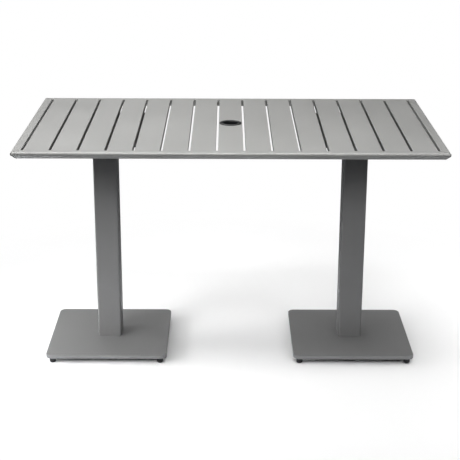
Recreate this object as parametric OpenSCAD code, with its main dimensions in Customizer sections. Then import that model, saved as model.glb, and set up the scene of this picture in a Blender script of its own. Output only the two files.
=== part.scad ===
// Patio dining table: a slatted aluminium top on two steel pedestals.
// Millimetres, +Z up, +X along the table. The origin is on the floor under the table's centre.

/* [Table] */
// Length of the top
top_l = 1270; // [1150:5:1500]
// Depth of the top from front to back
top_d = 716; // [620:2:860]
// Height of the top's upper face above the floor
table_h = 745; // [600:1:820]

/* [Top frame] */
// Width of a rail, seen from above
rail_w = 27; // [24:1:40]
// Height of a rail
rail_h = 21; // [18:0.5:30]
// Wall of a rail
rail_wall = 2.2; // [1.4:0.2:3]
// Radius of a rail's nose
nose_r = 6; // [4:0.5:8]
// Radius of the frame's four corners, seen from above
frame_corner_r = 5; // [2:0.5:6]

/* [Slats] */
// Number of slats, an odd number so that one lies in the middle
slat_count = 15; // [13:2:17]
// Open gap between two slats
slat_gap = 7; // [4:0.5:12]
// Thickness of a slat
slat_t = 17; // [14:0.5:20]
// Wall of a slat
slat_wall = 1.6; // [1.2:0.1:2.2]
// Radius of a slat's long edges
slat_edge_r = 1.5; // [0.5:0.25:2.5]
// Hollow chambers side by side in a slat
slat_chambers = 3; // [1:2:3]

/* [Umbrella ring] */
// Bore of the ring
ring_bore = 48; // [38:1:52]
// Outer diameter of the ring's flange
ring_flange_d = 70; // [64:1:76]
// Height of the flange above the slat
ring_flange_h = 3.5; // [2:0.5:5]
// Height of the flange's rim, where its crown starts
ring_rim_h = 0.7; // [0.4:0.1:1.2]
// Wall of the barrel that goes through the slat
ring_wall = 2; // [1.5:0.25:3]
// Length of the barrel below the slat's lower face
ring_tail = 4; // [3:0.5:8]
// Reach of a snap lug under the slat
ring_lug_reach = 1.4; // [1:0.1:2]
// Angle that one snap lug covers
ring_lug_angle = 24; // [12:2:40]
// Gap round the barrel in its hole
ring_clear = 0.3; // [0.2:0.1:0.5]

/* [Mounting plates] */
// Distance of each column's middle from the nearer end of the top
column_inset = 239; // [220:1:300]
// Size of a mounting plate along the table
plate_x = 320; // [290:5:360]
// Size of a mounting plate across the table
plate_y = 430; // [340:5:520]
// Thickness of a mounting plate
plate_t = 5; // [4:0.5:8]
// Corner radius of a mounting plate
plate_corner_r = 12; // [4:1:25]
// Distance of the screws from the plate's front and back edges
plate_screw_inset = 25; // [15:1:50]

/* [Columns] */
// Width of the square tube
column_w = 76.2; // [60:0.2:100]
// Wall of the tube
column_wall = 3; // [2:0.25:5]
// Outer corner radius of the tube
column_corner_r = 6; // [5.5:0.5:10]
// Thickness of the foot welded inside the tube
foot_t = 12; // [8:1:20]
// Gap between the foot and the tube, which the weld fills
foot_clear = 0.2; // [0.1:0.05:0.3]

/* [Base plates] */
// Size of a square base plate
base_w = 385; // [330:5:460]
// Thickness of a base plate
base_t = 12; // [11:0.5:16]
// Corner radius of a base plate
base_corner_r = 20; // [12:1:30]
// Rounding of a base plate's upper and lower edges
base_edge_r = 1.2; // [0.5:0.1:2]

/* [Glides] */
// Distance of a glide from the base plate's two edges
glide_inset = 20; // [16:1:40]
// Diameter of a pad
pad_d = 20; // [18:0.5:26]
// Height of a pad, from the floor to the base plate
pad_h = 19; // [16:0.5:24]
// Chamfer round the pad's lower edge
pad_chamfer = 2.5; // [1:0.25:3]
// Thickness of the collar that holds the ball down in the pad
pad_collar = 2; // [1:0.25:3]
// Hole in the sole for the key that turns the stud
key_hole_d = 5.6; // [5.2:0.2:6.4]
// Size of the key, across its flats
key_w = 4; // [3:0.5:4.5]
// Thread diameter of the stud
stud_d = 8; // [6:1:8]
// Diameter of the stud's ball end
ball_d = 10; // [9.5:0.25:11]
// Length of the stud inside the base plate when it is screwed right in
stud_grip = 9; // [6:0.25:9]
// Radial running clearance of the stud and the ball
stud_clear = 0.05; // [0.02:0.01:0.1]
// Room above the stud in its blind hole
stud_room = 0.5; // [0.2:0.1:1]

/* [Screws] */
// Thread of the screws that hold a mounting plate
top_screw_d = 6; // [5:1:6]
// Length of those screws under the head
top_screw_l = 16; // [14:1:17]
// Head diameter of those screws
top_head_d = 11; // [10:0.5:14]
// Head height of those screws
top_head_h = 3.3; // [2.5:0.1:5]
// Outer diameter of a rivet nut
nut_d = 9; // [8:0.25:10]
// Length of a rivet nut inside the slat
nut_l = 12; // [8:0.5:12]
// Thread of the screws that hold a base plate
base_screw_d = 8; // [6:1:10]
// Length of those screws, head and all
base_screw_l = 20; // [17:1:21]
// Head diameter of those screws
base_head_d = 16; // [14:0.5:20]
// Distance between two of those screws
base_screw_pitch = 44; // [34:1:48]
// Radial gap round a screw in its clearance hole
hole_clear = 0.5; // [0.3:0.1:0.8]
// Radial gap of a screw in its thread
thread_clear = 0.05; // [0.02:0.01:0.1]

/* [Hidden] */
$fn = 64;
tiny = 0.01;
top_colour = [0.71, 0.71, 0.70];
base_colour = [0.55, 0.56, 0.56];
plastic_colour = [0.10, 0.10, 0.11];
steel_colour = [0.72, 0.72, 0.74];

slat_w = (top_l - 2 * rail_w - (slat_count + 1) * slat_gap) / slat_count;
slat_l = top_d - 2 * rail_w;
slat_pitch = slat_w + slat_gap;
middle_slat = (slat_count + 1) / 2;
chamber_w = (slat_w - (slat_chambers + 1) * slat_wall) / slat_chambers;
slat_bottom = table_h - slat_t;
column_x = top_l / 2 - column_inset;
ring_barrel_d = ring_bore + 2 * ring_wall;
plate_bottom = slat_bottom - plate_t;
plate_screw_y = plate_y / 2 - plate_screw_inset;
base_bottom = pad_h;
base_top = base_bottom + base_t;
column_l = plate_bottom - base_top;
column_inner_w = column_w - 2 * column_wall;
column_inner_r = column_corner_r - column_wall;
glide_xy = base_w / 2 - glide_inset;
ball_z = pad_h - pad_collar - ball_d / 2;
key_depth = ball_d / 2;

SIDES = ["left", "right"];
CORNERS = ["front_left", "front_right", "back_left", "back_right"];
function side_x(side) = (side == "left" ? -1 : 1) * column_x;
function corner_xy(corner) =
    [(corner == "front_left" || corner == "back_left" ? -1 : 1) * glide_xy,
     (corner == "front_left" || corner == "front_right" ? -1 : 1) * glide_xy];
function slat_name(k) = str("slat_", k < 10 ? "0" : "", k);
function slat_x(k) = (k - middle_slat) * slat_pitch;
function nearest_slat(x) = middle_slat + round(x / slat_pitch);
// The three slats that the mounting plate of one side is screwed to
function carried_slats(side) = [for (step = [-1 : 1]) nearest_slat(side_x(side)) + step];
function is_carried(k) = len([for (side = SIDES, c = carried_slats(side)) if (c == k) c]) > 0;

// Rectangle about its centre with round corners
module round_rect(size, r) {
    square([size.x - 2 * r, size.y], center = true);
    square([size.x, size.y - 2 * r], center = true);
    for (sx = [-1, 1], sy = [-1, 1])
        translate([sx * (size.x / 2 - r), sy * (size.y / 2 - r)]) circle(r);
}

// Plate with round corners whose upper and lower edges are rounded too, from z = 0 up
module soft_plate(w, t, corner_r, edge_r) {
    straight = w - 2 * corner_r;
    for (turn = [0, 90])
        rotate([90, 0, 90 + turn])
            translate([0, t / 2, -straight / 2])
                linear_extrude(straight) round_rect([w, t], edge_r);
    for (sx = [-1, 1], sy = [-1, 1])
        translate([sx * straight / 2, sy * straight / 2, t / 2])
            rotate_extrude()
                intersection() {
                    round_rect([2 * corner_r, t], edge_r);
                    translate([0, -t / 2]) square([corner_r, t]);
                }
}

// Section of a rail: x outwards from its inner wall, y up from its lower edge to 0 at the top.
// inset is 0 for the outside and the wall for the inside.
module rail_outline(inset) {
    r = nose_r - inset;
    centre = [rail_w - nose_r, -nose_r];
    tangent = centre + r * [sqrt(0.5), -sqrt(0.5)];
    bottom = inset - rail_h;
    polygon([[inset, bottom], [tangent.x - (tangent.y - bottom), bottom], tangent,
             [centre.x, -inset], [inset, -inset]]);
    translate(centre) circle(r);
}

module rail_section() {
    difference() {
        rail_outline(0);
        rail_outline(rail_wall);
    }
}

// Rail on the +Y side of a frame, of outer length l, with its inner wall at y = inner
module mitred_rail(l, inner) {
    outer = inner + rail_w;
    intersection() {
        translate([-l / 2, inner, table_h])
            rotate([90, 0, 90])
                linear_extrude(l) rail_section();
        translate([0, 0, table_h - rail_h])
            linear_extrude(rail_h)
                polygon([[rail_w - l / 2, inner], [l / 2 - rail_w, inner], [l / 2, outer], [-l / 2, outer]]);
        translate([0, 0, table_h - rail_h])
            linear_extrude(rail_h) round_rect([l, 2 * outer], frame_corner_r);
    }
}

module long_rail(turn) {
    color(top_colour) rotate(turn) mitred_rail(top_l, top_d / 2 - rail_w);
}

module end_rail(turn) {
    color(top_colour) rotate(turn) mitred_rail(top_d, top_l / 2 - rail_w);
}

module slat_section() {
    difference() {
        round_rect([slat_w, slat_t], slat_edge_r);
        for (i = [0 : slat_chambers - 1])
            translate([(i - (slat_chambers - 1) / 2) * (chamber_w + slat_wall), 0])
                square([chamber_w, slat_t - 2 * slat_wall], center = true);
    }
}

// One slat, with the umbrella hole if it is the middle one and holes for rivet nuts over a column
module slat(k) {
    color(top_colour)
        translate([slat_x(k), 0, table_h - slat_t / 2])
            difference() {
                rotate([90, 0, 0]) linear_extrude(slat_l, center = true) slat_section();
                if (k == middle_slat)
                    cylinder(h = slat_t + 2, d = ring_barrel_d + 2 * ring_clear, center = true);
                if (is_carried(k))
                    for (sy = [-1, 1])
                        translate([0, sy * plate_screw_y, -slat_t / 2 - tiny])
                            cylinder(h = slat_wall + 2 * tiny, d = nut_d);
            }
}

// Section of the ring's flange: a flat rim with a crown above it
module flange_section() {
    band = (ring_flange_d - ring_bore) / 2;
    rise = ring_flange_h - ring_rim_h;
    crown_r = (band * band / 4 + rise * rise) / (2 * rise);
    intersection() {
        translate([ring_bore / 2, 0]) square([band, ring_flange_h]);
        translate([(ring_flange_d + ring_bore) / 4, ring_flange_h - crown_r]) circle(crown_r);
    }
}

// Flanged bush, with four snap lugs that catch under the slat
module umbrella_ring() {
    barrel_l = slat_t + ring_tail;
    lug_top = slat_t + ring_clear;
    barrel_r = ring_barrel_d / 2;
    color(plastic_colour)
        translate([0, 0, table_h]) {
            rotate_extrude($fn = 96) {
                flange_section();
                translate([ring_bore / 2, -barrel_l]) square([ring_wall, barrel_l]);
            }
            for (i = [0 : 3])
                rotate(90 * i - ring_lug_angle / 2)
                    rotate_extrude(angle = ring_lug_angle, $fn = 96)
                        polygon([[barrel_r - ring_wall / 2, -barrel_l], [barrel_r, -barrel_l],
                                 [barrel_r + ring_lug_reach, -lug_top], [barrel_r - ring_wall / 2, -lug_top]]);
        }
}

// Places its children at the six screws of one mounting plate
module at_plate_screws(side) {
    for (k = carried_slats(side), sy = [-1, 1])
        translate([slat_x(k), sy * plate_screw_y, 0]) children();
}

module mounting_plate(side) {
    color(base_colour)
        difference() {
            translate([side_x(side), 0, plate_bottom])
                linear_extrude(plate_t) round_rect([plate_x, plate_y], plate_corner_r);
            at_plate_screws(side)
                translate([0, 0, plate_bottom - 1])
                    cylinder(h = plate_t + 2, d = top_screw_d + 2 * hole_clear);
        }
}

module mounting_screws(side) {
    edge = top_head_h / 3;
    color(steel_colour)
        at_plate_screws(side)
            translate([0, 0, plate_bottom])
                difference() {
                    union() {
                        cylinder(h = top_screw_l, d = top_screw_d);
                        translate([0, 0, -top_head_h + edge]) cylinder(h = top_head_h - edge, d = top_head_d);
                        translate([0, 0, -top_head_h])
                            cylinder(h = edge, d1 = top_head_d - 2 * edge, d2 = top_head_d);
                    }
                    translate([0, 0, -top_head_h - tiny])
                        cylinder(h = 2 * top_head_h / 3, d = top_screw_d / 1.5 / cos(30), $fn = 6);
                }
}

module rivet_nuts(side) {
    color(steel_colour)
        at_plate_screws(side)
            translate([0, 0, slat_bottom])
                difference() {
                    cylinder(h = nut_l, d = nut_d);
                    translate([0, 0, -1]) cylinder(h = nut_l + 2, d = top_screw_d + 2 * thread_clear);
                }
}

module column(side) {
    color(base_colour)
        translate([side_x(side), 0, base_top])
            linear_extrude(column_l)
                difference() {
                    round_rect([column_w, column_w], column_corner_r);
                    round_rect([column_inner_w, column_inner_w], column_inner_r);
                }
}

// Places its children at the four screws of one base plate
module at_base_screws(side) {
    for (sx = [-1, 1], sy = [-1, 1])
        translate([side_x(side) + sx * base_screw_pitch / 2, sy * base_screw_pitch / 2, 0]) children();
}

module column_foot(side) {
    w = column_inner_w - 2 * foot_clear;
    color(base_colour)
        difference() {
            translate([side_x(side), 0, base_top])
                linear_extrude(foot_t) round_rect([w, w], column_inner_r);
            at_base_screws(side)
                translate([0, 0, base_top - 1])
                    cylinder(h = foot_t + 2, d = base_screw_d + 2 * thread_clear);
        }
}

// Countersunk screw from z = 0 up, wider all round by grow
module countersunk(l, grow) {
    d = base_screw_d + 2 * grow;
    head_d = base_head_d + 2 * grow;
    cylinder(h = l, d = d);
    cylinder(h = (head_d - d) / 2, d1 = head_d, d2 = d);
}

module base_plate(side) {
    color(base_colour)
        difference() {
            translate([side_x(side), 0, base_bottom]) soft_plate(base_w, base_t, base_corner_r, base_edge_r);
            at_base_screws(side)
                translate([0, 0, base_bottom]) {
                    countersunk(base_t + 1, hole_clear);
                    translate([0, 0, -1]) cylinder(h = 1 + tiny, d = base_head_d + 2 * hole_clear);
                }
            for (corner = CORNERS)
                translate([side_x(side), 0, base_bottom - 1] + concat(corner_xy(corner), 0))
                    cylinder(h = 1 + stud_grip + stud_room, d = stud_d + 2 * stud_clear);
        }
}

module base_screws(side) {
    color(steel_colour)
        at_base_screws(side)
            translate([0, 0, base_bottom])
                difference() {
                    countersunk(base_screw_l, 0);
                    translate([0, 0, -tiny])
                        cylinder(h = base_screw_d / 2, d = base_screw_d / 1.6 / cos(30), $fn = 6);
                }
}

// Places its children on the floor under one glide
module at_glide(side, corner) {
    translate([side_x(side), 0, 0] + concat(corner_xy(corner), 0)) children();
}

module glide_pad(side, corner) {
    r = pad_d / 2;
    color(plastic_colour)
        at_glide(side, corner)
            difference() {
                rotate_extrude()
                    polygon([[0, 0], [r - pad_chamfer, 0], [r, pad_chamfer], [r, pad_h], [0, pad_h]]);
                translate([0, 0, ball_z]) sphere(d = ball_d + 2 * stud_clear);
                translate([0, 0, ball_z]) cylinder(h = pad_h, d = stud_d + 2 * stud_clear);
                translate([0, 0, -1]) cylinder(h = ball_z, d = key_hole_d);
            }
}

module glide_stud(side, corner) {
    color(steel_colour)
        at_glide(side, corner)
            difference() {
                union() {
                    translate([0, 0, ball_z]) sphere(d = ball_d);
                    translate([0, 0, ball_z]) cylinder(h = base_bottom + stud_grip - ball_z, d = stud_d);
                }
                translate([0, 0, ball_z - ball_d / 2 - 1]) cylinder(h = key_depth, d = key_w / cos(30), $fn = 6);
            }
}

for (k = [1 : slat_count])
    slat(k);
long_rail(180);  // front_rail
long_rail(0);  // back_rail
end_rail(90);  // left_end_rail
end_rail(-90);  // right_end_rail
umbrella_ring();
for (side = SIDES) {
    mounting_plate(side);
    mounting_screws(side);
    rivet_nuts(side);
    column(side);
    column_foot(side);
    base_plate(side);
    base_screws(side);
    for (corner = CORNERS) {
        glide_pad(side, corner);
        glide_stud(side, corner);
    }
}
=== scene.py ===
"""The looks of a slatted patio dining table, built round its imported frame.

The frame holds every part at its place. This script gives each part its finish, rebuilds the extrusions,
tubes and plates with fine edges, and adds what only shows close by: weld beads, threads, sockets and the
moulded umbrella ring. Lengths are in metres unless a name ends in _mm or _px, and angles are in radians
unless it ends in _deg.
"""

import logging
import math
from collections.abc import Sequence
from dataclasses import dataclass, replace
from enum import Enum
from typing import ClassVar

import bmesh
import bpy
from mathutils import Matrix, Vector


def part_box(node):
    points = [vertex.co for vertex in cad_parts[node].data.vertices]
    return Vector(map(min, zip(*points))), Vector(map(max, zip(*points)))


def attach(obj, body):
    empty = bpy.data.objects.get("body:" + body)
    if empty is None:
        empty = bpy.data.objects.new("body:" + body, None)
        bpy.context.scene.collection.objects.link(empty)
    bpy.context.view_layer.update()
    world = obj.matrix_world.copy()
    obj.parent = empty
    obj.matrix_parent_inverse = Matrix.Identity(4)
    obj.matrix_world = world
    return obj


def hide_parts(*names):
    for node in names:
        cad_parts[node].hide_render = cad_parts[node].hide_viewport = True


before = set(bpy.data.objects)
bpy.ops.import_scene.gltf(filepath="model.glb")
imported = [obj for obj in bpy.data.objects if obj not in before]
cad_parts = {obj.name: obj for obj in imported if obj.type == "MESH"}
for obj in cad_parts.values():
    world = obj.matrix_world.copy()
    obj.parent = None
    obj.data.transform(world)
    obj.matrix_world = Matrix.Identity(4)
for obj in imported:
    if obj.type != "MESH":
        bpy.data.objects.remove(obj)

LOG = logging.getLogger("dining_table")
MM = 0.001
# Points closer than this become one.
MERGE = 0.001 * MM
# How far a cutter stands out of what it cuts.
CLEAR = 1 * MM
# Where most of a noise texture's values lie.
NOISE_SPREAD = {"From Min": 0.3, "From Max": 0.7}
# Edges of a weld bead's ripples stay smooth up to this angle.
BEAD_SHARP_DEG = 60.0

Material = bpy.types.Material
NodeTree = bpy.types.NodeTree
Piece = bpy.types.Object
Socket = bpy.types.NodeSocket
Point = tuple[float, float]
Ring = list[Vector]
# A line of a tree's formula: the result's name, the operation, and two names or numbers.
Step = tuple[str, str, str | float, str | float]


class Side(Enum):
    """One of the two pedestals."""

    LEFT = "left"
    RIGHT = "right"


class Corner(Enum):
    """One of the four glides of a pedestal."""

    FRONT_LEFT = "front_left"
    FRONT_RIGHT = "front_right"
    BACK_LEFT = "back_left"
    BACK_RIGHT = "back_right"


class Slot(Enum):
    """The record's material slots."""

    TOP = "top_powder_coat"
    BASE = "base_powder_coat"
    RING = "ring_plastic"
    GLIDE = "glide_plastic"
    ZINC = "zinc_steel"
    BARE = "bare_steel"


@dataclass(frozen=True)
class Box:
    """The space that one CAD node fills."""

    low: Vector
    high: Vector

    @classmethod
    def of(cls, node: str) -> "Box":
        """The box of the CAD node with that name."""
        low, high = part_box(node)
        return cls(low, high)

    @property
    def size(self) -> Vector:
        """Width, depth and height."""
        return self.high - self.low

    @property
    def centre(self) -> Vector:
        """The middle of the box."""
        return (self.low + self.high) / 2


def linear(code: str) -> tuple[float, float, float, float]:
    """Turns an sRGB hex colour such as #B4B4B2 into linear RGBA.

    Args:
        code: The colour, with its hash sign.

    Returns:
        Red, green, blue and a full alpha.
    """
    parts = [int(code[i : i + 2], 16) / 255 for i in (1, 3, 5)]
    red, green, blue = (c / 12.92 if c <= 0.04045 else ((c + 0.055) / 1.055) ** 2.4 for c in parts)
    return red, green, blue, 1.0


def add_node(
    tree: NodeTree, kind: str, inputs: dict[int | str, object] | None = None, **settings: object
) -> bpy.types.Node:
    """Adds one node to a tree.

    Args:
        tree: The material or geometry tree.
        kind: The node's type name.
        inputs: Input names or numbers, each with its constant value or the socket that feeds it.
        settings: Attributes of the node and what they are set to.

    Returns:
        The new node.
    """
    node = tree.nodes.new(kind)
    for name, value in settings.items():
        setattr(node, name, value)
    for name, value in (inputs or {}).items():
        if isinstance(value, Socket):
            tree.links.new(value, node.inputs[name])
        else:
            node.inputs[name].default_value = value
    return node


def new_piece(name: str, mesh: bpy.types.Mesh) -> Piece:
    """Puts a mesh into the scene as a piece at the origin.

    Args:
        name: The piece's name.
        mesh: Its mesh, which holds its place.

    Returns:
        The piece.
    """
    piece = bpy.data.objects.new(name, mesh)
    bpy.context.scene.collection.objects.link(piece)
    return piece


def piece_of(name: str, work: bmesh.types.BMesh) -> Piece:
    """Ends a working mesh and puts it into the scene as a piece.

    Args:
        name: The piece's name.
        work: The working mesh, which is freed.

    Returns:
        The piece.
    """
    mesh = bpy.data.meshes.new(name)
    work.to_mesh(mesh)
    work.free()
    return new_piece(name, mesh)


def settle(piece: Piece) -> None:
    """Turns a piece's modifiers into its plain mesh.

    Args:
        piece: The piece, which has no modifier afterwards.
    """
    evaluated = piece.evaluated_get(bpy.context.evaluated_depsgraph_get())
    mesh = bpy.data.meshes.new_from_object(evaluated)
    piece.modifiers.clear()
    piece.data = mesh


def discard(piece: Piece) -> None:
    """Removes a helper such as a cutter from the scene."""
    bpy.data.objects.remove(piece)


def tidy_mesh(piece: Piece) -> None:
    """Merges the doubles of a piece of closed shells and turns every face outwards.

    Args:
        piece: The piece, whose mesh is changed.
    """
    work = bmesh.new()
    work.from_mesh(piece.data)
    bmesh.ops.remove_doubles(work, verts=work.verts, dist=MERGE)
    bmesh.ops.recalc_face_normals(work, faces=work.faces)
    work.to_mesh(piece.data)
    work.free()


def smooth(piece: Piece, sharp_deg: float) -> None:
    """Shades a piece smooth, with sharp edges past an angle and flat faces that stay flat.

    Args:
        piece: The piece, whose mesh is replaced.
        sharp_deg: The angle past which an edge is sharp.
    """
    piece.data.shade_smooth()
    piece.data.set_sharp_from_angle(angle=math.radians(sharp_deg))
    even = piece.modifiers.new("even", "WEIGHTED_NORMAL")
    even.keep_sharp = True
    settle(piece)


def combine(piece: Piece, other: Piece, operation: str) -> None:
    """Cuts, joins or meets one closed piece with another, which is then discarded.

    Args:
        piece: The piece that stays.
        other: The closed mesh that it is combined with.
        operation: DIFFERENCE, UNION or INTERSECT.
    """
    boolean = piece.modifiers.new("combine", "BOOLEAN")
    boolean.operation = operation
    boolean.solver = "EXACT"
    boolean.object = other
    settle(piece)
    discard(other)


def join(name: str, pieces: Sequence[Piece]) -> Piece:
    """Makes one piece of several, each of which is then discarded.

    Args:
        name: The new piece's name.
        pieces: The pieces that it is made of.

    Returns:
        The new piece.
    """
    work = bmesh.new()
    for piece in pieces:
        work.from_mesh(piece.data)
        discard(piece)
    return piece_of(name, work)


def move(piece: Piece, matrix: Matrix) -> None:
    """Moves a piece by its mesh, so that its object stays at the origin."""
    piece.data.transform(matrix)


def finish_piece(
    piece: Piece,
    material: Material,
    body: str = "root",
    nodes: Sequence[str] = (),
    sharp_deg: float = 35.0,
) -> None:
    """Cleans and smooths a piece of closed shells, dresses it and lets it stand for its CAD nodes.

    Args:
        piece: The finished piece.
        material: Its finish.
        body: The CAD body that it moves with.
        nodes: The CAD nodes that it stands for.
        sharp_deg: The angle past which its edges are sharp.
    """
    tidy_mesh(piece)
    smooth(piece, sharp_deg)
    piece.data.materials.clear()
    piece.data.materials.append(material)
    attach(piece, body)
    if nodes:
        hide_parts(*nodes)
    LOG.info("%s: %d faces on %s", piece.name, len(piece.data.polygons), body)


def arc(centre: Point, radius: float, start_deg: float, end_deg: float, steps: int) -> list[Point]:
    """Points on an arc, both ends included."""
    angles = [math.radians(start_deg + (end_deg - start_deg) * i / steps) for i in range(steps + 1)]
    return [(centre[0] + radius * math.cos(a), centre[1] + radius * math.sin(a)) for a in angles]


def round_rect(width: float, height: float, radius: float, steps: int) -> list[Point]:
    """Outline of a rectangle about the origin with round corners, counter-clockwise.

    Args:
        width: Its size along x.
        height: Its size along y.
        radius: The radius of its corners.
        steps: How many edges each corner has.

    Returns:
        The outline's points.
    """
    x, y = width / 2 - radius, height / 2 - radius
    corners = [((x, y), 0), ((-x, y), 90), ((-x, -y), 180), ((x, -y), 270)]
    return [p for centre, turn in corners for p in arc(centre, radius, turn, turn + 90, steps)]


def around(steps: int) -> list[float]:
    """The angles of equal steps round a full turn."""
    return [2 * math.pi * i / steps for i in range(steps)]


def at_height(outline: Sequence[Point], z: float) -> Ring:
    """An outline as a ring of points at one height."""
    return [Vector((x, y, z)) for x, y in outline]


def spun(outline: Sequence[Point], angles: Sequence[float]) -> list[Ring]:
    """An outline of radii and heights, as one upright ring at each angle about the z axis."""
    return [[Vector((r * math.cos(a), r * math.sin(a), z)) for r, z in outline] for a in angles]


def hex_reach(across: float, angle: float) -> float:
    """Distance from a hexagon's middle to its edge at an angle."""
    sixth = math.pi / 3
    return across / 2 / math.cos((angle + sixth / 2) % sixth - sixth / 2)


def turned_ring(radius: float, z: float, steps: int, across: float = 0.0) -> Ring:
    """One ring of a turned shape, round or, where across is given, a hexagon of that size.

    Args:
        radius: The radius of a round ring.
        z: The ring's height.
        steps: How many points it has.
        across: The hexagon's width across its flats, or 0 for a round ring.

    Returns:
        The ring's points.
    """
    angles = around(steps)
    reach = [hex_reach(across, a) if across else radius for a in angles]
    return [Vector((r * math.cos(a), r * math.sin(a), z)) for r, a in zip(reach, angles)]


def loft(name: str, rings: Sequence[Ring], hollow: bool = False) -> Piece:
    """Skins a closed shape over rings that all have as many points.

    Args:
        name: The piece's name.
        rings: The rings from one end of the skin to the other.
        hollow: Whether the last ring meets the first, as in a bush, and not two closed ends.

    Returns:
        The piece, with its faces outwards.
    """
    work = bmesh.new()
    verts = [[work.verts.new(p) for p in ring] for ring in rings]
    pairs = list(zip(verts, verts[1:])) + ([(verts[-1], verts[0])] if hollow else [])
    for low, high in pairs:
        for i in range(len(low)):
            j = (i + 1) % len(low)
            work.faces.new((low[i], low[j], high[j], high[i]))
    if not hollow:
        work.faces.new(verts[0])
        work.faces.new(verts[-1])
    piece = piece_of(name, work)
    tidy_mesh(piece)
    return piece


def path_piece(name: str, paths: Sequence[Ring], closed: bool = False) -> Piece:
    """A piece that holds paths as edges, each of them open or closed.

    Args:
        name: The piece's name.
        paths: The points of each path.
        closed: Whether each path's last point is joined to its first.

    Returns:
        The piece, which has no faces.
    """
    verts = [tuple(p) for path in paths for p in path]
    edges: list[tuple[int, int]] = []
    first = 0
    for path in paths:
        edges += [(first + i, first + i + 1) for i in range(len(path) - 1)]
        if closed:
            edges.append((first + len(path) - 1, first))
        first += len(path)
    mesh = bpy.data.meshes.new(name)
    mesh.from_pydata(verts, edges, [])
    return new_piece(name, mesh)


def turned_cutters(name: str, places: Sequence[Vector], profile: Sequence[Point], steps: int = 32) -> Piece:
    """Turned shapes that stand on the given places, for use as one cutter.

    Args:
        name: The cutter's name.
        places: Where the middle of each shape's foot stands.
        profile: Radii and heights, from the lower end to the upper one.
        steps: How many sides each shape has.

    Returns:
        The cutter.
    """
    pieces = []
    for place in places:
        piece = loft(name, [turned_ring(r, z, steps) for r, z in profile])
        move(piece, Matrix.Translation(place))
        pieces.append(piece)
    return join(name, pieces)


class ShapeTree:
    """A Geometry Nodes tree with named inputs that makes one kind of shape."""

    def __init__(self, name: str) -> None:
        """Starts the tree with a geometry input and output.

        Args:
            name: The tree's name.
        """
        self.tree = bpy.data.node_groups.new(name, "GeometryNodeTree")
        self.identifiers: dict[str, str] = {}
        self.tree.interface.new_socket("Geometry", in_out="OUTPUT", socket_type="NodeSocketGeometry")
        self.given = self.add_input("Given", "NodeSocketGeometry")
        self.material = self.add_input("Material", "NodeSocketMaterial")

    def add_input(self, name: str, kind: str = "NodeSocketFloat") -> Socket:
        """Adds a named input and returns the socket that carries it.

        Args:
            name: The input's name.
            kind: The type of its socket.

        Returns:
            The socket.
        """
        item = self.tree.interface.new_socket(name, in_out="INPUT", socket_type=kind)
        self.identifiers[name] = item.identifier
        return add_node(self.tree, "NodeGroupInput").outputs[name]

    def work_out(self, known: dict[str, Socket], formula: Sequence[Step]) -> None:
        """Adds a formula to the tree, line by line.

        Args:
            known: The sockets that the formula starts from, by name; its results are added to them.
            formula: The lines, each of which may use the ones before it.
        """
        for name, operation, first, second in formula:
            terms = {0: known.get(first, first), 1: known.get(second, second)}
            known[name] = add_node(self.tree, "ShaderNodeMath", terms, operation=operation).outputs[0]

    def close(self, shape: Socket) -> None:
        """Ends the tree: instances become real, and the shape gets its material.

        Args:
            shape: The geometry that the tree has made.
        """
        real = add_node(self.tree, "GeometryNodeRealizeInstances", {"Geometry": shape})
        inputs = {"Geometry": real.outputs[0], "Material": self.material}
        dressed = add_node(self.tree, "GeometryNodeSetMaterial", inputs)
        add_node(self.tree, "NodeGroupOutput", {"Geometry": dressed.outputs[0]})

    def make(self, piece: Piece, material: Material, **sizes: object) -> None:
        """Runs the tree on a piece and leaves the result as its plain mesh.

        Args:
            piece: The piece that carries what the tree is given.
            material: The finish that Set Material hands on.
            sizes: Values for the named inputs, with spaces written as underscores.
        """
        modifier = piece.modifiers.new(self.tree.name, "NODES")
        modifier.node_group = self.tree
        modifier[self.identifiers["Material"]] = material
        for name, value in sizes.items():
            modifier[self.identifiers[name.replace("_", " ")]] = value
        settle(piece)


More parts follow.
